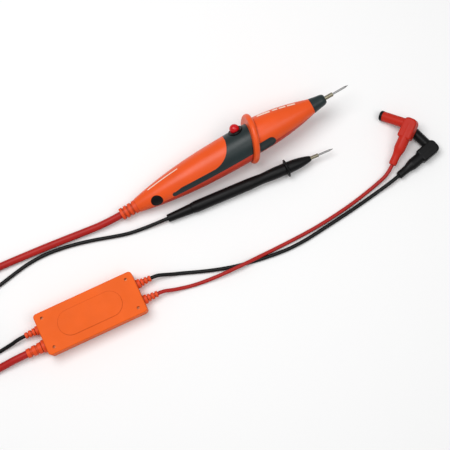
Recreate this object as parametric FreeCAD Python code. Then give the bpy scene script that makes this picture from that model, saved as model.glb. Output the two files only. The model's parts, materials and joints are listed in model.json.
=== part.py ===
"""Dynamic load test leads: a button probe, a slim probe, an in-line load box and two meter plugs.

Millimetres. The origin is the centre of the load box's underside, on the table.
+X runs along the box towards the meter plugs, +Y across it towards the probes, +Z up.
Each probe is drawn along its own +X axis, from the cord end to the needle, and then laid down.
"""
import math
import os

import FreeCAD
import Part

V = FreeCAD.Vector
AXIS_X = V(1, 0, 0)
AXIS_Y = V(0, 1, 0)
AXIS_Z = V(0, 0, 1)
HUGE = 400.0

# ---------------------------------------------------------------- driving dimensions

# cords
THICK = 7.4                      # outer diameter of the load probe's cord
THIN = 3.8                       # outer diameter of the three single cords

# load probe: stations along its axis, measured from the strain relief's cord end
RELIEF_END = 18.0
SHELL_FRONT = 217.0
NOSE_END = 232.0
COLLAR_END = 241.0
NEEDLE_END = 258.5
NEEDLE_R = 1.0                   # both probes take the same 2 mm needle
SHELL_WALL = 2.0
PARTING_Z = -6.0                 # the two half shells meet below the axis
SHELL_OUTLINE = [(18, 7.2), (45, 12.3), (75, 15.9), (105, 17.6), (148, 17.9),
                 (170, 16.7), (195, 13.0), (217, 7.6)]
FRONT_LIFT = 2.4                 # degrees, the shell ahead of the guard leans to the button's side
GRIP_SKIN = 1.2                  # depth of the soft overmould
GUARD_X = 147.5                  # finger guard, where its plane crosses the axis
GUARD_R = 24.0
GUARD_LIFT = 2.0                 # its rim is this far off the axis, to the button's side
GUARD_BORE_R = 16.9
GUARD_LENGTH = 6.2               # measured along the axis
GUARD_SLANT = 20.5               # degrees, one side leans towards the needle
GUARD_TURN = 10.0                # degrees from the button's side to the side that leans
GUARD_ROUND = 2.6
GUARD_WEB_R = 12.8               # opening in the wall under the guard
BUTTON_X = 139.0
BUTTON_R = 4.9
DOME_Z = 20.0                    # centre of the button's round top
BEZEL_R = 7.8
BEZEL_TOP_Z = 18.6
SIDE_PLUG_X = 38.0
SIDE_PLUG_R = 6.0
SIDE_PLUG_Z = -1.3
PAD_END = 169.3
PAD_Z = -4.8
PAD_R = 5.6
BOARD_TOP_Z = -1.4
SWITCH_TOP_Z = 5.6
PROBE_REAR = (67.0, 78.0, 8.2)
PROBE_YAW = 4.1
PROBE_TILT = 5.9
PROBE_ROLL = 53.0                # the button leans away from straight up

# slim probe
SLIM_BOOT_END = 26.0
SLIM_GUARD_X = 129.0
SLIM_GUARD_R = 9.2
SLIM_NOSE_END = 155.0
SLIM_COLLAR_END = 163.5
SLIM_NEEDLE_END = 179.6
SLIM_REAR = (107.0, 55.5, 4.95)
SLIM_YAW = -2.1
SLIM_TILT = 1.98

# load box
BOX_LENGTH = 104.0
BOX_WIDTH = 43.0
BOX_HEIGHT = 20.0
BOX_SPLIT_Z = 8.0                # the cover and the base meet here, level with the glands
BOX_CORNER_R = 3.5
BOX_WALL = 2.0
BOX_SCREW_X = 44.4
BOX_SCREW_Y = 15.2
BLACK_GLAND_Y = 7.8
RED_GLAND_Y = -9.0
SMALL_GLAND = 15.0               # length outside the box
LARGE_GLAND = 20.0

# meter plugs
PLUG_ANGLE = 86.0                # between the boot and the sheath
BOOT_LENGTH = 43.5
SHEATH_END = 33.0                # from the elbow's centre to the sheath's mouth
SHEATH_R = 5.0
RIM_R = 5.25
PIN_R = 2.0
PIN_ROOT_R = 1.6                 # where the pin is moulded in
ELBOW_LOW = (-6.6, -7.2, -5.6)   # the moulded elbow's block about the point where the axes meet
ELBOW_HIGH = (15.0, 6.8, 5.6)
ELBOW_ROUND = 2.2
ELBOW_CORNER = 5.0               # cut off the two corners away from the boot
BLACK_ELBOW = (376.8, 8.2, 6.7)
BLACK_BOOT_END = (334.81, -3.09, 5.31)
BLACK_SHEATH_END = (366.8, 39.6, 5.35)
RED_ELBOW = (365.8, 36.9, 17.7)
RED_BOOT_END = (333.57, 9.54, 7.46)
RED_SHEATH_END = (345.9, 60.2, 5.5)

# coils of the length that is put away
THICK_COIL = (-205.0, 38.0, 37.0, 3.5)      # centre x, centre y, middle radius, turns
THIN_COIL = (-124.0, 32.0, 22.0, 6.5)
COIL_PITCH_GAP = 0.3
COIL_LIFT = 0.7                  # the tie's strap runs under the turns
TIE_STRAP = 0.6
TIE_WIDTH = 12.0

# cord routes, each from where it leaves a piece to where it ends
THICK_FRONT_ROUTE = [(67, 78, 8.2), (49.14, 76.72, 6.35), (24, 78.4, 4.1), (-6, 80.2, 3.7),
                     (-40, 81.4, 3.7), (-80, 82.3, 3.7), (-125, 82.7, 3.8), (-168, 82.5, 4.1),
                     (-205, 81.7, 4.4)]
THICK_REAR_ROUTE = [(-205, -5.7, 11.8), (-188, -6.2, 10.4), (-167, -8.0, 5.9), (-143, -9.8, 3.7),
                    (-117, -10.6, 3.7), (-98, -9.7, 5.2), (-83, -9.0, 8.0), (-72, -9.0, 8.0)]
THIN_FRONT_ROUTE = [(107, 55.5, 4.95), (95.02, 55.94, 4.54), (81, 56.9, 2.6), (65, 58.6, 1.9),
                    (49, 62.6, 1.9), (32, 67.2, 1.9), (14, 71.2, 1.9), (-4, 73.6, 1.9),
                    (-20, 74.5, 1.9), (-37, 73.2, 1.9), (-55, 69.3, 1.9), (-73, 64.7, 1.9),
                    (-91, 61.7, 2), (-108, 60.6, 2.3), (-124, 60.5, 2.6)]
THIN_REAR_ROUTE = [(-124, 3.5, 6.6), (-112.5, 3.6, 5.4), (-102.5, 4.6, 2.1), (-92, 5.7, 2.1),
                   (-82.5, 6.4, 4.9), (-74, 7.8, 8), (-67, 7.8, 8)]
BLACK_METER_ROUTE = [(67, 7.8, 8), (73, 7.8, 8), (79.5, 5.9, 6.2), (87.5, 3.1, 3), (97.5, -0.1, 1.9),
                     (109, -4.4, 1.9), (122, -9, 1.9), (136, -13.2, 1.9), (150, -16.7, 1.9),
                     (166, -19.3, 1.9), (184, -21.6, 1.9), (202, -22.9, 1.9), (220, -22.2, 1.9),
                     (238, -19.9, 1.9), (257, -17.2, 1.9), (277, -14.3, 1.9), (296, -10.9, 1.9),
                     (311, -8.2, 2.8), (326.13, -5.42, 5.03), (334.81, -3.09, 5.31)]
RED_METER_ROUTE = [(67, -9, 8), (73, -9, 8), (80.5, -11.4, 5.8), (90, -13.4, 2.5),
                   (101, -15.6, 1.9), (114, -17.1, 2.2), (127, -18, 4.2), (141, -18.5, 6.1),
                   (158, -18.3, 6.1), (174, -17.6, 3.4), (188, -17.2, 1.9), (204, -16.7, 1.9),
                   (221, -16, 1.9), (240, -14.6, 1.9), (260, -12, 1.9), (280, -8.7, 1.9),
                   (298, -4.6, 1.9), (312.5, -0.9, 3), (326.16, 3.25, 5.11), (333.57, 9.54, 7.46)]


# ---------------------------------------------------------------- small helpers

def save(name, shape):
    """Write one node as parts/NAME.step."""
    if shape.Volume <= 0 or not shape.isValid():
        raise ValueError(f"{name} is not a sound solid")
    shape.exportStep(f"parts/{name}.step")
    print(f"{name}: {len(shape.Solids)} solid(s), {shape.Volume / 1000:.2f} cm3")


def cylinder(radius, start, end, axis=AXIS_X, at=V(0, 0, 0)):
    """A cylinder along axis through the point at, from start to end along it."""
    return Part.makeCylinder(radius, end - start, at + axis * start, axis)


def block(low, high):
    size = [b - a for a, b in zip(low, high)]
    return Part.makeBox(*size, V(*low))


def turned(points, curves=()):
    """Revolve an outline of (x, r) points about X. curves lists index ranges that are smooth."""
    edges = []
    index = 0
    spans = {first: last for first, last in curves}
    while index < len(points) - 1:
        last = spans.get(index, index + 1)
        span = [V(x, 0, r) for x, r in points[index:last + 1]]
        if len(span) > 2:
            curve = Part.BSplineCurve()
            curve.interpolate(span)
            edges.append(curve.toShape())
        else:
            edges.append(Part.makeLine(*span))
        index = last
    first_x, first_r = points[0]
    last_x, last_r = points[-1]
    if last_r > 0:
        edges.append(Part.makeLine(V(last_x, 0, last_r), V(last_x, 0, 0)))
    edges.append(Part.makeLine(V(last_x, 0, 0), V(first_x, 0, 0)))
    if first_r > 0:
        edges.append(Part.makeLine(V(first_x, 0, 0), V(first_x, 0, first_r)))
    face = Part.Face(Part.Wire(edges))
    return face.revolve(V(0, 0, 0), AXIS_X, 360)


def turned_about_z(points, at):
    """Revolve an outline of (r, z) points about the local Z axis through at."""
    outline = [V(r, 0, z) for r, z in points]
    face = Part.Face(Part.makePolygon(outline + outline[:1]))
    shape = face.revolve(V(0, 0, 0), AXIS_Z, 360)
    shape.translate(at)
    return shape


def ringed(start, step, count, radius_first, radius_last, groove):
    """Outline points of a ribbed relief: rings of falling radius with grooves between them."""
    points = []
    for ring in range(count):
        share = ring / (count - 1)
        radius = radius_first + (radius_last - radius_first) * share
        x = start + ring * step
        points += [(x, radius), (x + 0.62 * step, radius)]
        if ring < count - 1:
            points += [(x + 0.62 * step, radius - groove), (x + step, radius - groove)]
    return points


def laid(shape, rear, yaw, tilt, roll=0.0):
    """Lay a probe drawn along +X on the table: needle end raised by tilt, rolled about itself."""
    moved = shape.copy()
    place = FreeCAD.Placement(V(*rear), FreeCAD.Rotation(yaw, -tilt, -roll))
    moved.Placement = place.multiply(shape.Placement)
    return moved


# ---------------------------------------------------------------- load probe

def before_plane(station, first):
    """Everything from a station up to a plane slanted as the guard is."""
    run = 60.0 * math.tan(math.radians(GUARD_SLANT))
    corners = [V(first, -60, -60), V(station - run, -60, -60), V(station + run, -60, 60),
               V(first, -60, 60)]
    face = Part.Face(Part.makePolygon(corners + corners[:1]))
    space = face.extrude(V(0, 120, 0))
    space.rotate(V(0, 0, 0), AXIS_X, GUARD_TURN)
    return space


def shell_outline(inset, first, last):
    """The probe's outline, inset by a wall and trimmed to stations first and last."""
    points = [(x, r - inset) for x, r in SHELL_OUTLINE]
    solid = turned(points, [(0, len(points) - 1)])
    rear = before_plane(GUARD_X, -60)
    lifted = solid.copy()
    lifted.rotate(V(SHELL_FRONT, 0, 0), AXIS_Y, FRONT_LIFT)
    solid = solid.common(rear).fuse(lifted.cut(rear))
    return solid.common(cylinder(HUGE / 2, first, last))


def guard_slab(grow=0.0):
    """The slanted layer that holds the finger guard."""
    half = GUARD_LENGTH / 2 + grow
    run = 40.0 * math.tan(math.radians(GUARD_SLANT))
    corners = [V(GUARD_X - half - run, -40, -40), V(GUARD_X + half - run, -40, -40),
               V(GUARD_X + half + run, -40, 40), V(GUARD_X - half + run, -40, 40)]
    face = Part.Face(Part.makePolygon(corners + corners[:1]))
    slab = face.extrude(V(0, 80, 0))
    slab.rotate(V(0, 0, 0), AXIS_X, GUARD_TURN)
    return slab


def behind_guard():
    """Everything from the tail's end to the guard's rear face."""
    return before_plane(GUARD_X - GUARD_LENGTH / 2, 40)


def grip_region():
    """Side outline of the soft grip: a band at the guard and a strip that runs rearwards."""
    front = V(GUARD_X + 30, -30, PARTING_Z)
    tail_low = V(56.5, -30, PARTING_Z)
    tail_tip = V(54.2, -30, PARTING_Z + 2.3)
    tail_high = V(58.0, -30, -1.4)
    tail_end = V(66.0, -30, 0.2)
    turn_start = V(103.5, -30, 0.2)
    turn_end = V(125.4, -30, 17)
    top = V(125.8, -30, 30)
    sweep = Part.Arc(turn_start, V(118.2, -30, 6.8), turn_end).toShape()
    wire = Part.Wire([Part.Arc(tail_low, tail_tip, tail_high).toShape(),
                      Part.makeLine(tail_high, tail_end), Part.makeLine(tail_end, turn_start),
                      sweep, Part.makeLine(turn_end, top),
                      Part.makeLine(top, V(GUARD_X + 30, -30, 30)),
                      Part.makeLine(V(GUARD_X + 30, -30, 30), front),
                      Part.makeLine(front, tail_low)])
    return Part.Face(wire).extrude(V(0, 60, 0)).common(behind_guard())


def skin(inset, first, last, proud=0.0):
    """A layer of the probe's surface, inset deep and standing proud."""
    return shell_outline(-proud, first, last).cut(shell_outline(inset, first, last))


def pad_tool():
    """Stadium prisms, one each side, for the pads that run out from under the guard."""
    centre = PAD_END - PAD_R
    bar = block((GUARD_X - 15, -30, PAD_Z - PAD_R), (centre, 30, PAD_Z + PAD_R))
    end = cylinder(PAD_R, -30, 30, AXIS_Y, V(centre, 0, PAD_Z))
    return bar.fuse(end).cut(behind_guard()).cut(guard_slab(0.15))


def side_plug_tool():
    return cylinder(SIDE_PLUG_R, -30, 30, AXIS_Y, V(SIDE_PLUG_X, 0, SIDE_PLUG_Z))


SHELL_SCREWS = [(52, 0), (98, 0), (188, 6.5), (188, -6.5)]
SCREW_HEAD_Z = {52: -9.5, 98: -13.0, 188: -8.0}
BOARD_POSTS = [(118, 7.5), (118, -7.5), (160, 7.5), (160, -7.5)]


def half_shell(upper):
    """One hollow half shell with its screw bosses, before the guard and the trim are let in."""
    outside = shell_outline(0, RELIEF_END, SHELL_FRONT)
    cavity = shell_outline(SHELL_WALL, RELIEF_END + 3, SHELL_FRONT)
    shape = outside.cut(cavity)
    if upper:
        keep = block((0, -40, PARTING_Z), (HUGE, 40, 40))
    else:
        keep = block((0, -40, -40), (HUGE, 40, PARTING_Z))
    web = guard_slab(1.2).common(outside).cut(cylinder(GUARD_WEB_R, 100, 200))
    shape = shape.fuse(web).common(keep)
    for x, y in SHELL_SCREWS:
        span = (PARTING_Z, 25) if upper else (-25, PARTING_Z)
        boss = cylinder(3.0, *span, AXIS_Z, V(x, y, 0))
        shape = shape.fuse(boss.common(outside))
    if not upper:
        for x, y in BOARD_POSTS:
            post = cylinder(2.0, -25, BOARD_TOP_Z - 1.6, AXIS_Z, V(x, y, 0))
            shape = shape.fuse(post.common(outside))
    for x, y in SHELL_SCREWS:
        shape = shape.cut(cylinder(1.3, SCREW_HEAD_Z[x] - 1, 6, AXIS_Z, V(x, y, 0)))
        if not upper:
            shape = shape.cut(cylinder(2.6, -30, SCREW_HEAD_Z[x], AXIS_Z, V(x, y, 0)))
    shape = shape.cut(cylinder(5.5, 0, RELIEF_END + 4))
    shape = shape.cut(guard_slab().cut(cylinder(GUARD_BORE_R, 100, 200)))
    shape = shape.cut(pad_tool().common(skin(1.2, 135, 175, 1)))
    shape = shape.cut(side_plug_tool().common(skin(1.2, 30, 46, 1)))
    return shape


def button_bore(radius):
    return cylinder(radius, 2, 40, AXIS_Z, V(BUTTON_X, 0, 0))


def upper_shell():
    shape = half_shell(True)
    shape = shape.cut(grip_region().common(skin(GRIP_SKIN, 50, 165, 1)))
    return shape.cut(button_bore(BEZEL_R))


def lower_shell():
    return half_shell(False)


def grip_band():
    shape = skin(GRIP_SKIN, 50, 165).common(grip_region())
    return shape.cut(button_bore(BEZEL_R))


def finger_guard():
    ring = guard_slab().common(cylinder(GUARD_R, 100, 200, AXIS_X, V(0, 0, GUARD_LIFT)))
    rims = [edge for edge in ring.Edges if edge.BoundBox.YLength > 2 * GUARD_R - 1]
    ring = ring.makeFillet(GUARD_ROUND, rims)
    return ring.cut(cylinder(GUARD_BORE_R, 100, 200))


def side_pads():
    return pad_tool().common(skin(1.2, 135, 175, 0.4))


def side_plugs():
    return side_plug_tool().common(skin(1.2, 30, 46, 0.2))


def nose_cap():
    outline = [(209, 5.5), (SHELL_FRONT, 5.5), (SHELL_FRONT, 7.8), (221, 7.1), (226, 6.2),
               (230.5, 5.2), (NOSE_END, 4.0)]
    return turned(outline, [(2, 6)]).cut(cylinder(1.5, 200, 240))


def probe_strain_relief():
    outline = ringed(0, 4.7, 4, 6.2, 6.6, 1.1)
    outline += [(RELIEF_END, 6.6), (RELIEF_END, 5.4), (RELIEF_END + 3.1, 5.4),
                (RELIEF_END + 3.1, 5.7), (RELIEF_END + 5, 5.7)]
    return turned(outline)


def button_bezel():
    return turned_about_z([(BUTTON_R + 0.15, 15.3), (BEZEL_R, 15.3), (BEZEL_R, BEZEL_TOP_Z - 0.6),
                           (BEZEL_R - 0.6, BEZEL_TOP_Z), (BUTTON_R + 0.15, BEZEL_TOP_Z)],
                          V(BUTTON_X, 0, 0))


def button_cap():
    flange = cylinder(BUTTON_R + 0.9, 14.1, 15.1, AXIS_Z)
    barrel = cylinder(BUTTON_R, 15.1, DOME_Z, AXIS_Z)
    dome = Part.makeSphere(BUTTON_R, V(0, 0, DOME_Z), AXIS_Z, 0, 90, 360)
    cap = flange.fuse(barrel).fuse(dome)
    cap.translate(V(BUTTON_X, 0, 0))
    return cap.removeSplitter()


def switch_plunger():
    return cylinder(1.7, 3.4, 14.1, AXIS_Z, V(BUTTON_X, 0, 0))


def switch_body():
    body = block((BUTTON_X - 6, -6, BOARD_TOP_Z), (BUTTON_X + 6, 6, SWITCH_TOP_Z))
    return body.cut(cylinder(1.8, 1.2, 10, AXIS_Z, V(BUTTON_X, 0, 0)))


def button_spring():
    """A compression spring round the plunger, between the switch and the cap."""
    wire_r = 0.35
    low = SWITCH_TOP_Z + wire_r + 0.05
    high = 14.1 - wire_r - 0.05
    helix = Part.makeHelix((high - low) / 4, high - low, 3.1)
    section = Part.Wire(Part.makeCircle(wire_r, V(3.1, 0, 0), AXIS_Y))
    spring = Part.Wire(helix).makePipeShell([section], True, True)
    spring.translate(V(BUTTON_X, 0, low))
    return spring


def switch_board():
    return block((113, -10, BOARD_TOP_Z - 1.6), (165, 10, BOARD_TOP_Z))


def shell_screws():
    screws = []
    for x, y in SHELL_SCREWS:
        head_z = SCREW_HEAD_Z[x]
        shank = cylinder(1.2, head_z, 5.5, AXIS_Z, V(x, y, 0))
        head = cylinder(2.4, head_z - 1.8, head_z, AXIS_Z, V(x, y, 0))
        slot = block((x - 0.4, y - 2.4, head_z - 1.8), (x + 0.4, y + 2.4, head_z - 1.0))
        screws.append(shank.fuse(head).cut(slot))
    return Part.makeCompound(screws)


def tip_conductor():
    return cylinder(1.4, 157, NOSE_END)


def threaded_collar(start, end, radius, turns):
    """The metal collar that the needle screws into, with its thread grooves as rings."""
    step = (end - start - 1.6) / turns
    shape = turned([(start, radius), (end - 0.5, radius), (end, radius - 0.6)])
    for index in range(turns):
        x = start + 0.9 + index * step
        groove = turned([(x, radius + 1), (x + 0.55 * step, radius + 1)])
        groove = groove.cut(cylinder(radius - 0.45, x - 1, x + step))
        shape = shape.cut(groove)
    return shape


def needle(start, end, radius):
    return turned([(start, radius), (end - 4 * radius, radius), (end, 0.15)])


def load_probe():
    place = (PROBE_REAR, PROBE_YAW, PROBE_TILT, PROBE_ROLL)
    pieces = {
        "probe_upper_shell": upper_shell(),
        "probe_lower_shell": lower_shell(),
        "probe_grip_band": grip_band(),
        "probe_finger_guard": finger_guard(),
        "probe_side_pads": side_pads(),
        "probe_side_plugs": side_plugs(),
        "probe_nose_cap": nose_cap(),
        "probe_strain_relief": probe_strain_relief(),
        "probe_button_bezel": button_bezel(),
        "probe_button_cap": button_cap(),
        "probe_button_spring": button_spring(),
        "probe_switch_plunger": switch_plunger(),
        "probe_switch_body": switch_body(),
        "probe_switch_board": switch_board(),
        "probe_shell_screws": shell_screws(),
        "probe_tip_conductor": tip_conductor(),
        "probe_tip_collar": threaded_collar(NOSE_END, COLLAR_END, 2.25, 5),
        "probe_tip_needle": needle(COLLAR_END, NEEDLE_END, NEEDLE_R),
    }
    for name, shape in pieces.items():
        save(name, laid(shape, *place))


# ---------------------------------------------------------------- slim probe

def slim_boot():
    outline = [(0, 3.2), (0.8, 4.0), (12, 4.5), (SLIM_BOOT_END - 0.8, 5.2), (SLIM_BOOT_END, 4.9)]
    return turned(outline)


def slim_handle():
    outline = [(SLIM_BOOT_END, 5.3), (31, 6.0), (60, 6.0), (89, 6.0), (96, 5.6), (103, 5.4),
               (111, 5.8), (118, 6.05), (SLIM_GUARD_X - 1.6, 6.05)]
    return turned(outline, [(3, 7)]).cut(cylinder(1.3, 40, 140))


def slim_guard():
    ring = turned([(SLIM_GUARD_X - 1.6, 6.4), (SLIM_GUARD_X - 0.7, 9.0), (SLIM_GUARD_X, SLIM_GUARD_R),
                   (SLIM_GUARD_X + 0.7, 9.0), (SLIM_GUARD_X + 1.6, 6.4)])
    return ring.cut(cylinder(1.3, 100, 140))


def slim_nose():
    outline = [(SLIM_GUARD_X + 1.6, 6.1), (133, 6.0), (140, 5.6), (147, 4.6), (153.6, 3.0),
               (SLIM_NOSE_END, 2.4)]
    return turned(outline, [(1, 4)]).cut(cylinder(1.3, 100, 160))


def slim_probe():
    place = (SLIM_REAR, SLIM_YAW, SLIM_TILT)
    pieces = {
        "slim_boot": slim_boot(),
        "slim_handle": slim_handle(),
        "slim_finger_guard": slim_guard(),
        "slim_nose": slim_nose(),
        "slim_conductor": cylinder(1.2, 40, SLIM_NOSE_END),
        "slim_tip_collar": threaded_collar(SLIM_NOSE_END, SLIM_COLLAR_END, 2.0, 5),
        "slim_tip_needle": needle(SLIM_COLLAR_END, SLIM_NEEDLE_END, NEEDLE_R),
    }
    for name, shape in pieces.items():
        save(name, laid(shape, *place))


# ---------------------------------------------------------------- load box

def rounded_slab(length, width, low, high, radius):
    shape = block((-length / 2, -width / 2, low), (length / 2, width / 2, high))
    uprights = [edge for edge in shape.Edges if edge.BoundBox.ZLength > 0.9 * (high - low)]
    return shape.makeFillet(radius, uprights)


def stadium(length, width, low, high):
    """A flat plate with round ends, centred on the box."""
    reach = (length - width) / 2
    plate = block((-reach, -width / 2, low), (reach, width / 2, high))
    for side in (-1, 1):
        plate = plate.fuse(cylinder(width / 2, low, high, AXIS_Z, V(side * reach, 0, 0)))
    return plate.removeSplitter()


def gland_slots():
    """The round slots in the box's ends that the glands' necks sit in."""
    tool = cylinder(3.0, -60, 60, AXIS_X, V(0, BLACK_GLAND_Y, BOX_SPLIT_Z))
    tool = tool.fuse(cylinder(3.0, 0, 60, AXIS_X, V(0, RED_GLAND_Y, BOX_SPLIT_Z)))
    return tool.fuse(cylinder(5.0, -60, 0, AXIS_X, V(0, RED_GLAND_Y, BOX_SPLIT_Z)))


def box_corners():
    return [(sx * BOX_SCREW_X, sy * BOX_SCREW_Y) for sx in (-1, 1) for sy in (-1, 1)]


def box_cover():
    shape = rounded_slab(BOX_LENGTH, BOX_WIDTH, BOX_SPLIT_Z, BOX_HEIGHT, BOX_CORNER_R)
    top = [edge for edge in shape.Edges if edge.BoundBox.ZMin > BOX_HEIGHT - 0.01]
    shape = shape.makeFillet(1.2, top)
    inner = rounded_slab(BOX_LENGTH - 2 * BOX_WALL, BOX_WIDTH - 2 * BOX_WALL,
                         BOX_SPLIT_Z - 1, BOX_HEIGHT - BOX_WALL, BOX_CORNER_R - BOX_WALL)
    shape = shape.cut(inner)
    for x, y in box_corners():
        shape = shape.fuse(cylinder(3.2, BOX_SPLIT_Z, BOX_HEIGHT - 1, AXIS_Z, V(x, y, 0)))
        shape = shape.cut(cylinder(1.5, BOX_HEIGHT - 4, BOX_HEIGHT + 1, AXIS_Z, V(x, y, 0)))
        shape = shape.cut(cylinder(1.0, BOX_SPLIT_Z - 1, BOX_HEIGHT, AXIS_Z, V(x, y, 0)))
    emblem = stadium(66, 25, BOX_HEIGHT, BOX_HEIGHT + 0.5)
    return shape.fuse(emblem).cut(gland_slots()).removeSplitter()


def box_base():
    shape = rounded_slab(BOX_LENGTH, BOX_WIDTH, 0, BOX_SPLIT_Z, BOX_CORNER_R)
    under = [edge for edge in shape.Edges if edge.BoundBox.ZMax < 0.01]
    shape = shape.makeFillet(0.8, under)
    inner = rounded_slab(BOX_LENGTH - 2 * BOX_WALL, BOX_WIDTH - 2 * BOX_WALL,
                         BOX_WALL, BOX_SPLIT_Z + 1, BOX_CORNER_R - BOX_WALL)
    shape = shape.cut(inner)
    for x, y in box_corners():
        shape = shape.fuse(cylinder(3.2, BOX_WALL / 2, BOX_SPLIT_Z, AXIS_Z, V(x, y, 0)))
        shape = shape.cut(cylinder(1.0, 2.0, BOX_SPLIT_Z + 1, AXIS_Z, V(x, y, 0)))
    for x in (-32, 32):
        for y in (-12, 12):
            shape = shape.fuse(cylinder(2.0, BOX_WALL / 2, 4.0, AXIS_Z, V(x, y, 0)))
    return shape.cut(gland_slots())


def box_screws():
    screws = []
    for x, y in box_corners():
        shank = cylinder(0.95, 3.0, BOX_HEIGHT - 4, AXIS_Z, V(x, y, 0))
        head = cylinder(1.45, BOX_HEIGHT - 4, BOX_HEIGHT - 2.4, AXIS_Z, V(x, y, 0))
        cross = block((x - 1.0, y - 0.2, BOX_HEIGHT - 3), (x + 1.0, y + 0.2, BOX_HEIGHT))
        cross = cross.fuse(block((x - 0.2, y - 1.0, BOX_HEIGHT - 3), (x + 0.2, y + 1.0, BOX_HEIGHT)))
        screws.append(shank.fuse(head).cut(cross))
    return Part.makeCompound(screws)


def box_board():
    return block((-38, -15, 4.0), (38, 15, 5.6))


def load_resistors():
    """Two wirewound load resistors, lying across the board on their bent leads."""
    group = []
    for x in (-14, 14):
        body = cylinder(4.0, -10, 10, AXIS_Y, V(x, 0, 10.2))
        for y in (-12.5, 12.5):
            inner = 10 if y > 0 else -10
            stub = cylinder(0.5, min(inner, y), max(inner, y), AXIS_Y, V(x, 0, 10.2))
            leg = cylinder(0.6, 5.6, 11.0, AXIS_Z, V(x, y, 0))
            body = body.fuse(stub).fuse(leg)
        group.append(body.removeSplitter())
    return Part.makeCompound(group)


def ptc_disc():
    """The disc thermistor that limits the load current when it warms."""
    disc = cylinder(4.5, -1.6, 1.6, AXIS_X, V(0, 0, 12.1))
    for y in (-2.5, 2.5):
        disc = disc.fuse(cylinder(0.4, 5.6, 9.5, AXIS_Z, V(0, y, 0)))
    return disc.removeSplitter()


def solder_terminals():
    pins = []
    for x in (-34, 34):
        for y in (-8.5, 8.5):
            pins.append(block((x - 1.5, y - 1.0, 5.6), (x + 1.5, y + 1.0, 8.4)))
    return Part.makeCompound(pins)


def gland(length, collar_r, ring_first, ring_last, neck_r):
    """A moulded cord gland along +X: neck and inner flange in the wall, collar, falling rings."""
    outline = [(-BOX_WALL - 2.2, neck_r + 1.0), (-BOX_WALL - 0.1, neck_r + 1.0),
               (-BOX_WALL - 0.1, neck_r - 0.05), (0, neck_r - 0.05), (0, collar_r), (3.4, collar_r),
               (4.0, collar_r - 0.6), (4.0, ring_first - 1.2), (4.6, ring_first - 1.2)]
    outline += ringed(4.6, (length - 4.6) / 2.62, 3, ring_first, ring_last, 1.2)
    return turned(outline)


def place_gland(shape, side, y):
    moved = shape.copy()
    if side < 0:
        moved.rotate(V(0, 0, 0), AXIS_Z, 180)
    moved.translate(V(side * BOX_LENGTH / 2, y, BOX_SPLIT_Z))
    return moved


def load_box():
    small = gland(SMALL_GLAND, 4.6, 3.8, 3.1, 3.0)
    large = gland(LARGE_GLAND, 6.6, 5.6, 4.7, 5.0)
    save("box_cover", box_cover())
    save("box_base", box_base())
    save("box_screws", box_screws())
    save("box_board", box_board())
    save("box_load_resistors", load_resistors())
    save("box_ptc_disc", ptc_disc())
    save("box_solder_terminals", solder_terminals())
    save("gland_red_probe_side", place_gland(large, -1, RED_GLAND_Y))
    save("gland_black_probe_side", place_gland(small, -1, BLACK_GLAND_Y))
    save("gland_red_meter_side", place_gland(small, 1, RED_GLAND_Y))
    save("gland_black_meter_side", place_gland(small, 1, BLACK_GLAND_Y))


# ---------------------------------------------------------------- meter plugs

def along_sheath(shape):
    """Turn a piece drawn along +X to the sheath's direction."""
    moved = shape.copy()
    moved.rotate(V(0, 0, 0), AXIS_Z, -PLUG_ANGLE)
    return moved


def plug_body():
    """The moulded elbow with its boot along +X and its sheath at PLUG_ANGLE to it."""
    elbow = block(ELBOW_LOW, ELBOW_HIGH)
    corners = [edge for edge in elbow.Edges
               if edge.BoundBox.ZLength > 1 and edge.BoundBox.XMax < 0]
    elbow = elbow.makeFillet(ELBOW_CORNER, corners)
    elbow = elbow.makeFillet(ELBOW_ROUND, elbow.Edges)
    boot = turned([(0, 5.7), (14, 5.75), (24, 5.75), (27, 5.45), (29, 4.95), (31, 4.4), (33, 4.1),
                   (38, 3.95), (42.6, 3.85), (BOOT_LENGTH, 3.2)], [(2, 8)])
    sheath = along_sheath(cylinder(SHEATH_R, 0, SHEATH_END - 3))
    hollow = along_sheath(cylinder(4.3, 8, SHEATH_END))
    seat = along_sheath(cylinder(PIN_ROOT_R, 2, 10))
    return elbow.fuse(boot).fuse(sheath).removeSplitter().cut(hollow).cut(seat)


def sheath_liner():
    tube = cylinder(4.25, 8, SHEATH_END - 3)
    rim = turned([(SHEATH_END - 3, RIM_R), (SHEATH_END - 0.8, RIM_R), (SHEATH_END, RIM_R - 0.5)])
    return along_sheath(tube.fuse(rim).cut(cylinder(3.5, 7, SHEATH_END + 1)).removeSplitter())


def plug_pin():
    """The 4 mm pin, which stops short of the sheath's mouth."""
    return along_sheath(turned([(2.1, PIN_ROOT_R), (8, PIN_ROOT_R), (8, PIN_R), (28.5, PIN_R),
                                (SHEATH_END - 2.5, 1.2)]))


def plug_placement(elbow, boot_end, sheath_end):
    centre = V(*elbow)
    along_boot = (V(*boot_end) - centre).normalize()
    normal = (V(*sheath_end) - centre).cross(along_boot).normalize()
    across = normal.cross(along_boot)
    return FreeCAD.Placement(centre, FreeCAD.Rotation(along_boot, across, normal, "ZXY"))


def meter_plug(name, elbow, boot_end, sheath_end):
    place = plug_placement(elbow, boot_end, sheath_end)
    pieces = {"body": plug_body(), "sheath_liner": sheath_liner(), "pin": plug_pin()}
    for piece, shape in pieces.items():
        shape.Placement = place.multiply(shape.Placement)
        save(f"{name}_plug_{piece}", shape)


# ---------------------------------------------------------------- cords and coils

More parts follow.
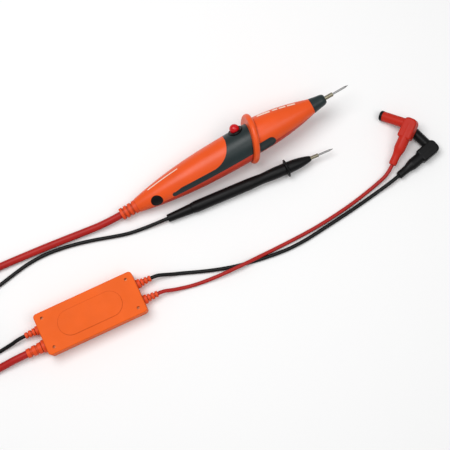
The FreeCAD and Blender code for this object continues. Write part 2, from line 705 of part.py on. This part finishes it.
def cord_tube(name, route, diameter):
    """A tube along straight runs joined by tangent arcs, each as large as its runs allow."""
    points = [V(*p) for p in route]
    edges = []
    at = points[0]
    radii = []
    for before, corner, after in zip(points, points[1:], points[2:]):
        back = (before - corner).normalize()
        on = (after - corner).normalize()
        half_turn = (math.pi - back.getAngle(on)) / 2
        reach = 0.45 * min(before.distanceToPoint(corner), after.distanceToPoint(corner))
        start = corner + back * reach
        end = corner + on * reach
        radius = reach / math.tan(half_turn)
        radii.append(radius)
        bulge = (back + on).normalize()
        middle = corner + bulge * (radius / math.cos(half_turn) - radius)
        edges.append(Part.LineSegment(at, start).toShape())
        edges.append(Part.Arc(start, middle, end).toShape())
        at = end
    edges.append(Part.LineSegment(at, points[-1]).toShape())
    path = Part.Wire(edges)
    section = Part.Wire(Part.makeCircle(diameter / 2, points[0], points[1] - points[0]))
    tube = path.makePipeShell([section], True, False)
    expected = math.pi * diameter ** 2 / 4 * path.Length
    print(f"{name}: length {path.Length:.1f}, smallest radius {min(radii):.1f} "
          f"({min(radii) / diameter:.1f} d), volume ratio {tube.Volume / expected:.4f}")
    return tube


def coil_span(coil, diameter):
    """Inner radius, outer radius and height of a coil wound in two layers."""
    _, _, middle_r, turns = coil
    half_width = (turns / 2) * (diameter + COIL_PITCH_GAP) / 2 + diameter / 2 + 0.4
    return middle_r - half_width, middle_r + half_width, 2 * diameter + 0.4


def coil_solid(coil, diameter):
    """The outer shape of a coil: a round ring that lies on its tie's strap."""
    x, y, _, _ = coil
    inner_r, outer_r, height = coil_span(coil, diameter)
    centre = V(x, y, COIL_LIFT)
    ring = Part.makeCylinder(outer_r, height, centre).cut(Part.makeCylinder(inner_r, height, centre))
    rims = [edge for edge in ring.Edges if edge.BoundBox.ZLength < 0.01]
    return ring.makeFillet(0.4 * diameter, rims)


def coil_tie(coil, diameter, angle):
    """A strap wrapped once round the coil's turns."""
    x, y, _, _ = coil
    inner_r, outer_r, height = coil_span(coil, diameter)
    half = TIE_WIDTH / 2
    gap = 0.05
    inside = math.sqrt(inner_r ** 2 - half ** 2) - gap
    outer = block((inside - TIE_STRAP, -half, COIL_LIFT - TIE_STRAP - gap),
                  (outer_r + TIE_STRAP + gap, half, COIL_LIFT + height + TIE_STRAP + gap))
    hole = block((inside, -half - 1, COIL_LIFT - gap),
                 (outer_r + gap, half + 1, COIL_LIFT + height + gap))
    strap = outer.cut(hole)
    strap.rotate(V(0, 0, 0), AXIS_Z, angle)
    strap.translate(V(x, y, 0))
    return strap


def cords():
    save("thick_red_coil", coil_solid(THICK_COIL, THICK))
    save("thin_black_coil", coil_solid(THIN_COIL, THIN))
    save("thick_coil_tie", coil_tie(THICK_COIL, THICK, 180))
    save("thin_coil_tie", coil_tie(THIN_COIL, THIN, 180))
    save("thick_red_cord_front", cord_tube("thick_red_cord_front", THICK_FRONT_ROUTE, THICK))
    save("thick_red_cord_rear", cord_tube("thick_red_cord_rear", THICK_REAR_ROUTE, THICK))
    save("thin_black_cord_front", cord_tube("thin_black_cord_front", THIN_FRONT_ROUTE, THIN))
    save("thin_black_cord_rear", cord_tube("thin_black_cord_rear", THIN_REAR_ROUTE, THIN))
    save("black_meter_cord", cord_tube("black_meter_cord", BLACK_METER_ROUTE, THIN))
    save("red_meter_cord", cord_tube("red_meter_cord", RED_METER_ROUTE, THIN))


def main():
    os.makedirs("parts", exist_ok=True)
    load_probe()
    slim_probe()
    load_box()
    meter_plug("black", BLACK_ELBOW, BLACK_BOOT_END, BLACK_SHEATH_END)
    meter_plug("red", RED_ELBOW, RED_BOOT_END, RED_SHEATH_END)
    cords()


main()
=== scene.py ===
"""Looks for the dynamic load test leads: camera, cords, materials, printed bars, lights.

Lengths are millimetres in the part's own frame unless a comment says metres; mm() turns a point
into metres.
"""

import json
import math

import bmesh
import bpy
from mathutils import Matrix, Vector
from mathutils.bvhtree import BVHTree


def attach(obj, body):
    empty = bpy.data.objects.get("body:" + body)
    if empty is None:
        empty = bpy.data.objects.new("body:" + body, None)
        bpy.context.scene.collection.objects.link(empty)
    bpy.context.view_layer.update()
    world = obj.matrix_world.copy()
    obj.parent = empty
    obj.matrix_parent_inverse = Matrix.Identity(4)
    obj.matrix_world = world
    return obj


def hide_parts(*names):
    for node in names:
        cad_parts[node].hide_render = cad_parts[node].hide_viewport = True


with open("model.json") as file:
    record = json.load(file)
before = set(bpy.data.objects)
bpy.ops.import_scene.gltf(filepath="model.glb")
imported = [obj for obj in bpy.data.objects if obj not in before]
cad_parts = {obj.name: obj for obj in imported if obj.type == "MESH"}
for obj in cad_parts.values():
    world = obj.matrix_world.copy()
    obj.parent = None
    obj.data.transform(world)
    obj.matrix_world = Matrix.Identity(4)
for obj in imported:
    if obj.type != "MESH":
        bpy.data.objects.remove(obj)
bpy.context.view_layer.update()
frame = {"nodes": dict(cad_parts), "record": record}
nodes = frame["nodes"]

# ---------------------------------------------------------------- numbers shared with the CAD

THICK = 7.4                      # outer diameter of the load probe's cord
THIN = 3.8                       # outer diameter of the three single cords
THICK_COIL = (-205.0, 38.0, 37.0, 3.5)      # centre x, centre y, middle radius, turns
THIN_COIL = (-124.0, 32.0, 22.0, 6.5)
COIL_PITCH_GAP = 0.3
COIL_LIFT = 0.7                  # the tie's strap runs under the turns
TIE_WIDTH = 12.0
PROBE_REAR = (67.0, 78.0, 8.2)
PROBE_TURN = (4.1, 5.9, 53.0)               # yaw, tilt and roll in degrees

# cord routes, each from where it leaves a piece to where it ends
THICK_FRONT_ROUTE = [(67, 78, 8.2), (49.14, 76.72, 6.35), (24, 78.4, 4.1), (-6, 80.2, 3.7),
                     (-40, 81.4, 3.7), (-80, 82.3, 3.7), (-125, 82.7, 3.8), (-168, 82.5, 4.1),
                     (-205, 81.7, 4.4)]
THICK_REAR_ROUTE = [(-205, -5.7, 11.8), (-188, -6.2, 10.4), (-167, -8.0, 5.9), (-143, -9.8, 3.7),
                    (-117, -10.6, 3.7), (-98, -9.7, 5.2), (-83, -9.0, 8.0), (-72, -9.0, 8.0)]
THIN_FRONT_ROUTE = [(107, 55.5, 4.95), (95.02, 55.94, 4.54), (81, 56.9, 2.6), (65, 58.6, 1.9),
                    (49, 62.6, 1.9), (32, 67.2, 1.9), (14, 71.2, 1.9), (-4, 73.6, 1.9),
                    (-20, 74.5, 1.9), (-37, 73.2, 1.9), (-55, 69.3, 1.9), (-73, 64.7, 1.9),
                    (-91, 61.7, 2), (-108, 60.6, 2.3), (-124, 60.5, 2.6)]
THIN_REAR_ROUTE = [(-124, 3.5, 6.6), (-112.5, 3.6, 5.4), (-102.5, 4.6, 2.1), (-92, 5.7, 2.1),
                   (-82.5, 6.4, 4.9), (-74, 7.8, 8), (-67, 7.8, 8)]
BLACK_METER_ROUTE = [(67, 7.8, 8), (73, 7.8, 8), (79.5, 5.9, 6.2), (87.5, 3.1, 3),
                     (97.5, -0.1, 1.9), (109, -4.4, 1.9), (122, -9, 1.9), (136, -13.2, 1.9),
                     (150, -16.7, 1.9), (166, -19.3, 1.9), (184, -21.6, 1.9), (202, -22.9, 1.9),
                     (220, -22.2, 1.9), (238, -19.9, 1.9), (257, -17.2, 1.9), (277, -14.3, 1.9),
                     (296, -10.9, 1.9), (311, -8.2, 2.8), (326.13, -5.42, 5.03),
                     (334.81, -3.09, 5.31)]
RED_METER_ROUTE = [(67, -9, 8), (73, -9, 8), (80.5, -11.4, 5.8), (90, -13.4, 2.5),
                   (101, -15.6, 1.9), (114, -17.1, 2.2), (127, -18, 4.2), (141, -18.5, 6.1),
                   (158, -18.3, 6.1), (174, -17.6, 3.4), (188, -17.2, 1.9), (204, -16.7, 1.9),
                   (221, -16, 1.9), (240, -14.6, 1.9), (260, -12, 1.9), (280, -8.7, 1.9),
                   (298, -4.6, 1.9), (312.5, -0.9, 3), (326.16, 3.25, 5.11), (333.57, 9.54, 7.46)]


def mm(point):
    return Vector(point) / 1000


def linked(name, data):
    """A new object for the data, in the scene."""
    thing = bpy.data.objects.new(name, data)
    bpy.context.collection.objects.link(thing)
    return thing


# ---------------------------------------------------------------- camera

CAMERA_TARGET = mm((156.3, 26.2, 0.0))
CAMERA_DISTANCE = 1.0625         # metres
CAMERA_AZIMUTH = math.radians(-25.05)
CAMERA_ELEVATION = math.radians(80.0)
CAMERA_LENS = 85.0
SENSOR_WIDTH = 36.0
CAMERA_NEAR = 0.01               # metres


def make_camera():
    sin_a, cos_a = math.sin(CAMERA_AZIMUTH), math.cos(CAMERA_AZIMUTH)
    sin_e, cos_e = math.sin(CAMERA_ELEVATION), math.cos(CAMERA_ELEVATION)
    back = Vector((sin_a * cos_e, -cos_a * cos_e, sin_e))
    right = Vector((cos_a, sin_a, 0.0))
    up = back.cross(right)
    data = bpy.data.cameras.new("camera")
    data.lens = CAMERA_LENS
    data.sensor_width = SENSOR_WIDTH
    data.clip_start = CAMERA_NEAR
    camera = linked("camera", data)
    turn = Matrix((right, up, back)).transposed().to_4x4()
    camera.matrix_world = Matrix.Translation(CAMERA_TARGET + back * CAMERA_DISTANCE) @ turn
    bpy.context.scene.camera = camera


make_camera()

# ---------------------------------------------------------------- cords

COIL_STEPS = 16                  # control points in each turn
COIL_START = 90.0                # degrees, where both coils begin
LAYER_GAP = 0.1                  # between a coil's lower and upper turns


def coil_points(coil, diameter):
    """Control points of a coil wound inwards on the floor and outwards again on top."""
    x, y, middle_r, turns = coil
    pitch = diameter + COIL_PITCH_GAP
    layer_turns = turns / 2
    outer_r = middle_r + layer_turns * pitch / 2
    low = COIL_LIFT + diameter / 2
    high = low + diameter + LAYER_GAP
    spread = 1 / math.cos(math.pi / COIL_STEPS)      # the spline cuts inside its control points
    points = []
    for step in range(1, round(turns * COIL_STEPS)):
        turn = step / COIL_STEPS
        inward = min(turn, turns - turn)
        radius = (outer_r - pitch * inward) * spread
        climb = min(1.0, max(0.0, (turn - layer_turns) * 4 + 0.5))   # over a quarter of a turn
        angle = math.radians(COIL_START) + 2 * math.pi * turn
        points.append((x + radius * math.cos(angle), y + radius * math.sin(angle),
                       low + (high - low) * climb))
    return points


def tube(name, points, diameter):
    """A round cord along one smooth NURBS spline. A point's radius counts in the piece's box, so
    it is the cord's own, times a bevel of 1 m."""
    data = bpy.data.curves.new(name, "CURVE")
    data.dimensions = "3D"
    data.bevel_depth = 1.0
    data.bevel_resolution = 6
    data.resolution_u = 8
    data.use_fill_caps = True
    spline = data.splines.new("NURBS")
    spline.points.add(len(points) - 1)
    for target, point in zip(spline.points, points):
        target.co = (*mm(point), 1.0)
        target.radius = diameter / 2000
    spline.order_u = 3
    spline.use_endpoint_u = True
    piece = linked(name, data)
    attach(piece, "root")
    return piece


# ---------------------------------------------------------------- ties

STRAP_THICK = 0.5
STRAP_ROOM = 0.45                # over the turns and at their sides
STRAP_SLACK = 0.35               # below the turns, and more at their sides
STRAP_CORNER = 0.42              # corner radius, in cord diameters
CORNER_STEPS = 6
STRAP_ROWS = (-0.5, -0.47, -0.25, 0.0, 0.25, 0.47, 0.5)      # across the width
EDGE_DIP = 0.12                  # how far the strap's edges curl down
LAP_POINTS = slice(4, 10)        # the part of the section that the end laps over
LAP_RISE = 0.5
LAP_REACH = 0.35                 # how far the lapped end stands out at the coil's outside


def thickened(piece, thick, offset):
    modifier = piece.modifiers.new("thickness", "SOLIDIFY")
    modifier.thickness = thick / 1000
    modifier.offset = offset


def strap_section(inner, outer, low, high, corner):
    """A rectangle with round corners, as points of radius and height."""
    section = []
    for centre_r, centre_z, start in ((outer - corner, high - corner, 0),
                                      (inner + corner, high - corner, 90),
                                      (inner + corner, low + corner, 180),
                                      (outer - corner, low + corner, 270)):
        for step in range(CORNER_STEPS + 1):
            turn = math.radians(start + 90 / CORNER_STEPS * step)
            section.append((centre_r + corner * math.cos(turn), centre_z + corner * math.sin(turn)))
    return section


def mesh_data(name, mesh):
    """The finished bmesh as mesh data, with its faces pointing outwards."""
    bmesh.ops.recalc_face_normals(mesh, faces=mesh.faces)
    data = bpy.data.meshes.new(name)
    mesh.to_mesh(data)
    mesh.free()
    return data


def tie_strap(name, coil, diameter):
    """A hook-and-loop strap wrapped once round the coil's turns, with its end lapped on top."""
    x, y, middle_r, turns = coil
    half_width = (turns / 2) * (diameter + COIL_PITCH_GAP) / 2 + diameter / 2 + STRAP_ROOM
    inner = math.sqrt((middle_r - half_width) ** 2 - (TIE_WIDTH / 2) ** 2) - STRAP_SLACK
    outer = middle_r + half_width + STRAP_SLACK
    low = COIL_LIFT - STRAP_SLACK
    high = COIL_LIFT + 2 * diameter + STRAP_ROOM
    section = strap_section(inner, outer, low, high, diameter * STRAP_CORNER)
    lap = [(r + LAP_REACH * (r - middle_r) / (outer - middle_r), z + LAP_RISE)
           for r, z in section[LAP_POINTS]]
    mesh = bmesh.new()
    for path, closed in ((section, True), (lap, False)):
        rows = []
        for share in STRAP_ROWS:
            dip = EDGE_DIP if abs(share) == 0.5 else 0.0
            rows.append([mesh.verts.new(mm((x - r, y - share * TIE_WIDTH, z - dip)))
                         for r, z in path])
        count = len(path)
        for row, next_row in zip(rows, rows[1:]):
            for index in range(count if closed else count - 1):
                after = (index + 1) % count
                mesh.faces.new((row[index], row[after], next_row[after], next_row[index]))
    data = mesh_data(name, mesh)
    for face in data.polygons:
        face.use_smooth = True
    strap = linked(name, data)
    thickened(strap, STRAP_THICK, 1.0)
    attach(strap, "root")
    return strap


thick_tie = tie_strap("thick_tie", THICK_COIL, THICK)
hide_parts("thick_coil_tie")
thin_tie = tie_strap("thin_tie", THIN_COIL, THIN)
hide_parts("thin_coil_tie")

thick_cord = tube("thick_cord", THICK_FRONT_ROUTE + coil_points(THICK_COIL, THICK)
                  + THICK_REAR_ROUTE, THICK)
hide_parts("thick_red_cord_front", "thick_red_coil", "thick_red_cord_rear")
thin_cord = tube("thin_cord", THIN_FRONT_ROUTE + coil_points(THIN_COIL, THIN)
                 + THIN_REAR_ROUTE, THIN)
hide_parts("thin_black_cord_front", "thin_black_coil", "thin_black_cord_rear")
black_meter = tube("black_meter_lead", BLACK_METER_ROUTE, THIN)
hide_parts("black_meter_cord")
red_meter = tube("red_meter_lead", RED_METER_ROUTE, THIN)
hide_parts("red_meter_cord")

# ---------------------------------------------------------------- materials

# sizes of the patterns: a higher number is a finer pattern
DRIFT = 34.0
SMUDGE = 90.0
SCUFF = 900.0
TOOL_LINES = 700.0
SCUFF_STRETCH = (1.0, 0.25, 1.0)
TOOL_LINE_STRETCH = (1.0, 14.0, 14.0)
CREASE_SHADE = 0.3               # painted shade: how much of its colour a plastic keeps in a tight crease
# painted shade: how much of its colour a metal keeps in a tight crease
METAL_CREASE_SHADE = 0.12
COAT_ROUGHNESS = 0.2


def linear(red, green, blue):
    """A display colour of 0 to 255 as the linear colour that a shader takes."""
    values = []
    for value in (red, green, blue):
        share = value / 255
        values.append(share / 12.92 if share <= 0.04045 else ((share + 0.055) / 1.055) ** 2.4)
    return (*values, 1.0)


def scaled(colour, factor):
    return (*(min(1.0, part * factor) for part in colour[:3]), 1.0)


def grey(shade):
    return (shade, shade, shade, 1)


class Recipe:
    """A material being put together from its nodes."""

    def __init__(self, name):
        self.material = bpy.data.materials.new(name)
        self.material.use_nodes = True
        self.tree = self.material.node_tree
        self.shader = self.tree.nodes["Principled BSDF"]
        self.coords = self.add("ShaderNodeTexCoord").outputs["Object"]

    def add(self, kind, **settings):
        node = self.tree.nodes.new(kind)
        for key, value in settings.items():
            setattr(node, key, value)
        return node

    def link(self, source, target):
        self.tree.links.new(source, target)

    def noise(self, scale, detail=3.0, rough=0.5, stretch=None):
        node = self.add("ShaderNodeTexNoise")
        node.inputs["Scale"].default_value = scale
        node.inputs["Detail"].default_value = detail
        node.inputs["Roughness"].default_value = rough
        source = self.coords
        if stretch:
            mapping = self.add("ShaderNodeMapping")
            mapping.inputs["Scale"].default_value = stretch
            self.link(self.coords, mapping.inputs["Vector"])
            source = mapping.outputs["Vector"]
        self.link(source, node.inputs["Vector"])
        return node.outputs["Fac"]

    def ramp(self, source, stops):
        node = self.add("ShaderNodeValToRGB")
        elements = node.color_ramp.elements
        while len(elements) < len(stops):
            elements.new(0.5)
        for element, (place, colour) in zip(elements, stops):
            element.position = place
            element.color = colour
        self.link(source, node.inputs["Fac"])
        return node.outputs["Color"]

    def span(self, source, low, high):
        """The middle of a noise's range, spread out from low to high."""
        node = self.add("ShaderNodeMapRange")
        node.inputs["From Min"].default_value = 0.3
        node.inputs["From Max"].default_value = 0.7
        node.inputs["To Min"].default_value = low
        node.inputs["To Max"].default_value = high
        self.link(source, node.inputs["Value"])
        return node.outputs["Result"]

    def bump(self, source, depth, normal=None):
        node = self.add("ShaderNodeBump")
        node.inputs["Strength"].default_value = 1.0
        node.inputs["Distance"].default_value = depth / 1000
        self.link(source, node.inputs["Height"])
        if normal is not None:
            self.link(normal, node.inputs["Normal"])
        return node.outputs["Normal"]

    def painted_crease_shade(self, colour, depth, reach=2.5):
        """The colour, darkened where other surfaces crowd in: painted shade in every seam and
        crease.
        """
        node = self.add("ShaderNodeAmbientOcclusion", samples=8)
        node.inputs["Distance"].default_value = reach / 1000
        shade = self.ramp(node.outputs["AO"], [(0.25, grey(depth)), (0.85, grey(1))])
        mix = self.add("ShaderNodeMixRGB", blend_type="MULTIPLY")
        mix.inputs["Fac"].default_value = 1.0
        self.link(colour, mix.inputs["Color1"])
        self.link(shade, mix.inputs["Color2"])
        return mix.outputs["Color"]

    def rounded(self, radius):
        """A normal that rounds off the solid's sharp edges."""
        node = self.add("ShaderNodeBevel", samples=6)
        node.inputs["Radius"].default_value = radius / 1000
        return node.outputs["Normal"]


def moulded(name, colour, rough, tint=0.05, grain=0.02, grain_scale=2600, edge=0.25,
            coat=0.0, sheen=0.0, scuffs=0.0, specular=0.2):
    """Moulded plastic or rubber: slow colour drift, fine grain, soft edges, light scuffs, painted
    shade in each crease.
    """
    recipe = Recipe(name)
    drift = recipe.noise(DRIFT, 4.0)
    body = recipe.ramp(drift, [(0.3, scaled(colour, 1 - tint)), (0.7, scaled(colour, 1 + tint))])
    if scuffs:
        marks = recipe.noise(SCUFF, 6.0, 0.65, SCUFF_STRETCH)
        mask = recipe.ramp(marks, [(0.60, grey(0)), (0.72, grey(scuffs))])
        mix = recipe.add("ShaderNodeMixRGB")
        recipe.link(mask, mix.inputs["Fac"])
        recipe.link(body, mix.inputs["Color1"])
        mix.inputs["Color2"].default_value = scaled(colour, 1.35)
        body = mix.outputs["Color"]
    # painted shade: the base colour darkens in seams and wherever surfaces crowd in
    recipe.link(recipe.painted_crease_shade(body, CREASE_SHADE), recipe.shader.inputs["Base Color"])
    smudge = recipe.noise(SMUDGE, 5.0, 0.6)
    recipe.link(recipe.span(smudge, rough - 0.05, rough + 0.06), recipe.shader.inputs["Roughness"])
    texture = recipe.noise(grain_scale, 2.0)
    normal = recipe.bump(texture, grain, recipe.rounded(edge) if edge else None)
    recipe.link(normal, recipe.shader.inputs["Normal"])
    recipe.shader.inputs["Coat Weight"].default_value = coat
    recipe.shader.inputs["Coat Roughness"].default_value = COAT_ROUGHNESS
    recipe.shader.inputs["Sheen Weight"].default_value = sheen
    recipe.shader.inputs["Specular IOR Level"].default_value = specular
    return recipe.material


def metal(name, colour, rough):
    """Turned or ground metal with fine tool lines and painted shade in each tight crease."""
    recipe = Recipe(name)
    lines = recipe.noise(TOOL_LINES, 4.0, 0.7, TOOL_LINE_STRETCH)
    body = recipe.ramp(lines, [(0.25, scaled(colour, 0.82)), (0.75, scaled(colour, 1.12))])
    # painted shade: the base colour darkens in tight seams
    recipe.link(recipe.painted_crease_shade(body, METAL_CREASE_SHADE, 1.0), recipe.shader.inputs["Base Color"])
    recipe.link(recipe.span(lines, rough - 0.06, rough + 0.08), recipe.shader.inputs["Roughness"])
    recipe.link(recipe.bump(lines, 0.006, recipe.rounded(0.08)), recipe.shader.inputs["Normal"])
    recipe.shader.inputs["Metallic"].default_value = 1.0
    return recipe.material


SHELL_ORANGE = linear(230, 84, 28)
# painted shade: a darker copy of the shell orange, for the shaded underside of the lower shell
SHELL_PAINTED_SHADE = linear(196, 56, 32)
CASE_ORANGE = linear(234, 98, 32)
RELIEF_ORANGE = linear(224, 76, 32)
CORD_RED = linear(170, 32, 28)
PLUG_RED = linear(186, 40, 26)
BUTTON_RED = linear(196, 18, 26)
GRIP_GREY = linear(34, 45, 46)
BLACK = linear(13, 13, 14)
STRAP_BLACK = linear(30, 30, 31)
PRINT_WHITE = linear(246, 214, 196)

shell_orange = moulded("shell_orange", SHELL_ORANGE, 0.34, grain=0.012, edge=0.4, scuffs=0.12,
                       specular=0.28)
shell_painted_shade = moulded("shell_painted_shade", SHELL_PAINTED_SHADE, 0.40, grain=0.012, edge=0.4, scuffs=0.12)
case_orange = moulded("case_orange", CASE_ORANGE, 0.55, grain=0.03, grain_scale=1800, edge=0.5,
                      scuffs=0.12, specular=0.1)
grip_rubber = moulded("grip_rubber", GRIP_GREY, 0.36, tint=0.1, edge=0.3, scuffs=0.2, specular=0.3)
relief_orange = moulded("relief_orange", RELIEF_ORANGE, 0.45)
satin_black = moulded("satin_black", BLACK, 0.40, tint=0.15, edge=0.3, scuffs=0.25, specular=0.16)
button_red = moulded("button_red", BUTTON_RED, 0.26, grain=0.006, edge=0.2, coat=0.3)
plug_red = moulded("plug_red", PLUG_RED, 0.42, grain=0.015, edge=0.4, scuffs=0.15, specular=0.16)
cord_red = moulded("cord_red", CORD_RED, 0.42, tint=0.08, grain=0.012, grain_scale=900, edge=0)
cord_black = moulded("cord_black", BLACK, 0.44, tint=0.15, grain=0.012, grain_scale=900, edge=0)
strap_black = moulded("strap_black", STRAP_BLACK, 0.75, tint=0.2, grain=0.12, grain_scale=1500,
                      edge=0.2, sheen=0.3)
board_green = moulded("board_green", linear(30, 90, 52), 0.38, grain=0.01, edge=0.1)
ceramic_white = moulded("ceramic_white", linear(214, 208, 192), 0.6, grain=0.03, edge=0.3)
ceramic_brown = moulded("ceramic_brown", linear(120, 76, 44), 0.5, grain=0.03, edge=0.3)
print_white = moulded("print_white", PRINT_WHITE, 0.5, grain=0.01, edge=0)
steel = metal("steel", linear(150, 150, 149), 0.32)
nickel = metal("nickel", linear(150, 144, 124), 0.32)
# painted light: a light copper colour, brighter than blackened steel, lightens the screw heads in
# the shade of their holes
dark_steel = metal("dark_steel", linear(196, 112, 76), 0.45)
brass = metal("brass", linear(214, 176, 96), 0.3)
copper = metal("copper", linear(200, 120, 80), 0.35)

# the record's material slots and what each is finished in
FINISH = {"orange_shell": shell_orange, "orange_case": case_orange, "grip_rubber": grip_rubber,
          "black_plastic": satin_black, "relief_orange": relief_orange, "button_red": button_red,
          "steel": steel, "dark_steel": dark_steel, "nickel": nickel, "brass": brass,
          "copper": copper, "board_green": board_green, "resistor_white": ceramic_white,
          "ptc_ceramic": ceramic_brown, "plug_red": plug_red, "plug_black": satin_black,
          "cord_red": cord_red, "cord_black": cord_black, "tie_black": strap_black}


def finish_in(piece, material):
    piece.data.materials.clear()
    piece.data.materials.append(material)


for entry in frame["record"]["subparts"]:
    for place in nodes[entry["node"]].material_slots:
        place.material = FINISH[entry["material_slot"]]
# the lower shell takes the darker copy of the shell orange: painted shade for the probe's underside
for place in nodes["probe_lower_shell"].material_slots:
    place.material = shell_painted_shade

for piece, material in ((thick_cord, cord_red), (thin_cord, cord_black),
                        (black_meter, cord_black), (red_meter, cord_red),
                        (thick_tie, strap_black), (thin_tie, strap_black)):
    finish_in(piece, material)

# ---------------------------------------------------------------- printed bars

RAY_START = 40.0                 # from the probe's axis, outside its shell
PAINT_LIFT = 0.06
PAINT_THICK = 0.08

# a row of print: a station along the probe, the angle round its axis there, degrees per mm after it
BAR_ROW = (164, 2.6, -0.26)
DASH_ROW = (180, -1.5, -0.26)
REAR_ROW = (35, -14.6, 0.0)

# name, row, first and last station, width
PRINTS = [("print_front_bar", BAR_ROW, 164.2, 177.6, 3.4),
          ("print_front_dash_1", DASH_ROW, 180.2, 185.4, 2.4),
          ("print_front_dash_2", DASH_ROW, 187.0, 193.6, 2.4),
          ("print_front_dash_3", DASH_ROW, 195.2, 203.0, 2.4),
          ("print_rear_line", REAR_ROW, 35.0, 71.0, 1.3)]


def laid(rear, turn):
    """Where a probe drawn along its own +X lies."""
    yaw, tilt, roll = (math.radians(angle) for angle in turn)
    return (Matrix.Translation(mm(rear)) @ Matrix.Rotation(yaw, 4, "Z")
            @ Matrix.Rotation(-tilt, 4, "Y") @ Matrix.Rotation(-roll, 4, "X"))


def skin_of(name):
    source = nodes[name].data
    return BVHTree.FromPolygons([vertex.co.copy() for vertex in source.vertices],
                                [tuple(face.vertices) for face in source.polygons])


def printed_bar(name, row_of_print, start, end, width, place, skin):
    """A thin strip of paint that follows the skin from one station to another."""
    row_start, row_angle, row_slope = row_of_print
    columns = max(2, round(end - start))
    mesh = bmesh.new()
    rows = []
    for side in (-0.5, 0.0, 0.5):
        row = []
        for step in range(columns + 1):
            x = start + (end - start) * (step / columns)
            turn = math.radians(row_angle + row_slope * (x - row_start))
            out = Vector((0, math.sin(turn), math.cos(turn)))
            along = Vector((0, out.z, -out.y))
            origin = place @ mm(Vector((x, 0, 0)) + out * RAY_START + along * side * width)
            aim = (place.to_3x3() @ -out).normalized()
            point, normal, _, _ = skin.ray_cast(origin, aim)
            row.append(mesh.verts.new(point + normal * (PAINT_LIFT / 1000)))
        rows.append(row)
    for row, next_row in zip(rows, rows[1:]):
        for step in range(columns):
            mesh.faces.new((row[step], row[step + 1], next_row[step + 1], next_row[step]))
    bar = linked(name, mesh_data(name, mesh))
    thickened(bar, PAINT_THICK, 0.0)
    finish_in(bar, print_white)
    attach(bar, "root")


probe_place = laid(PROBE_REAR, PROBE_TURN)
upper_skin = skin_of("probe_upper_shell")
for name, row_of_print, start, end, width in PRINTS:
    printed_bar(name, row_of_print, start, end, width, probe_place, upper_skin)

# ---------------------------------------------------------------- floor and light, in metres

FLOOR_SIZE = 8.0
FLOOR_CENTRE = (0.15, 0.03, -0.0002)
FLOOR_SHADE = (0.93, 0.93, 0.93, 1.0)
FLOOR_ROUGHNESS = 0.9
WORLD_SHADE = (1.0, 1.0, 1.0, 1.0)
WORLD_STRENGTH = 0.34

# name, place, size, watts
LIGHTS = [("key", (-0.12, 0.40, 1.30), 0.85, 11.5),
          ("fill", (0.50, -0.35, 1.25), 0.80, 4.5)]


def make_stage():
    bpy.ops.mesh.primitive_plane_add(size=FLOOR_SIZE, location=FLOOR_CENTRE)
    floor = bpy.context.object
    floor.name = "floor"
    recipe = Recipe("floor_paper")
    recipe.shader.inputs["Base Color"].default_value = FLOOR_SHADE
    recipe.shader.inputs["Roughness"].default_value = FLOOR_ROUGHNESS
    floor.data.materials.append(recipe.material)


def soft_light(name, place, size, watts):
    """A round lamp that points at the middle of the view."""
    data = bpy.data.lights.new(name, "AREA")
    data.shape = "DISK"
    data.size = size
    data.energy = watts
    light = linked(name, data)
    light.location = place
    aim = CAMERA_TARGET - Vector(place)
    light.rotation_euler = aim.to_track_quat("-Z", "Y").to_euler()


def make_light():
    world = bpy.data.worlds.new("studio")
    world.use_nodes = True
    background = world.node_tree.nodes["Background"]
    background.inputs["Color"].default_value = WORLD_SHADE
    background.inputs["Strength"].default_value = WORLD_STRENGTH
    bpy.context.scene.world = world
    for name, place, size, watts in LIGHTS:
        soft_light(name, place, size, watts)


make_stage()
make_light()
bpy.context.scene.view_settings.view_transform = "Standard"

# ---------------------------------------------------------------- done

bpy.context.view_layer.update()
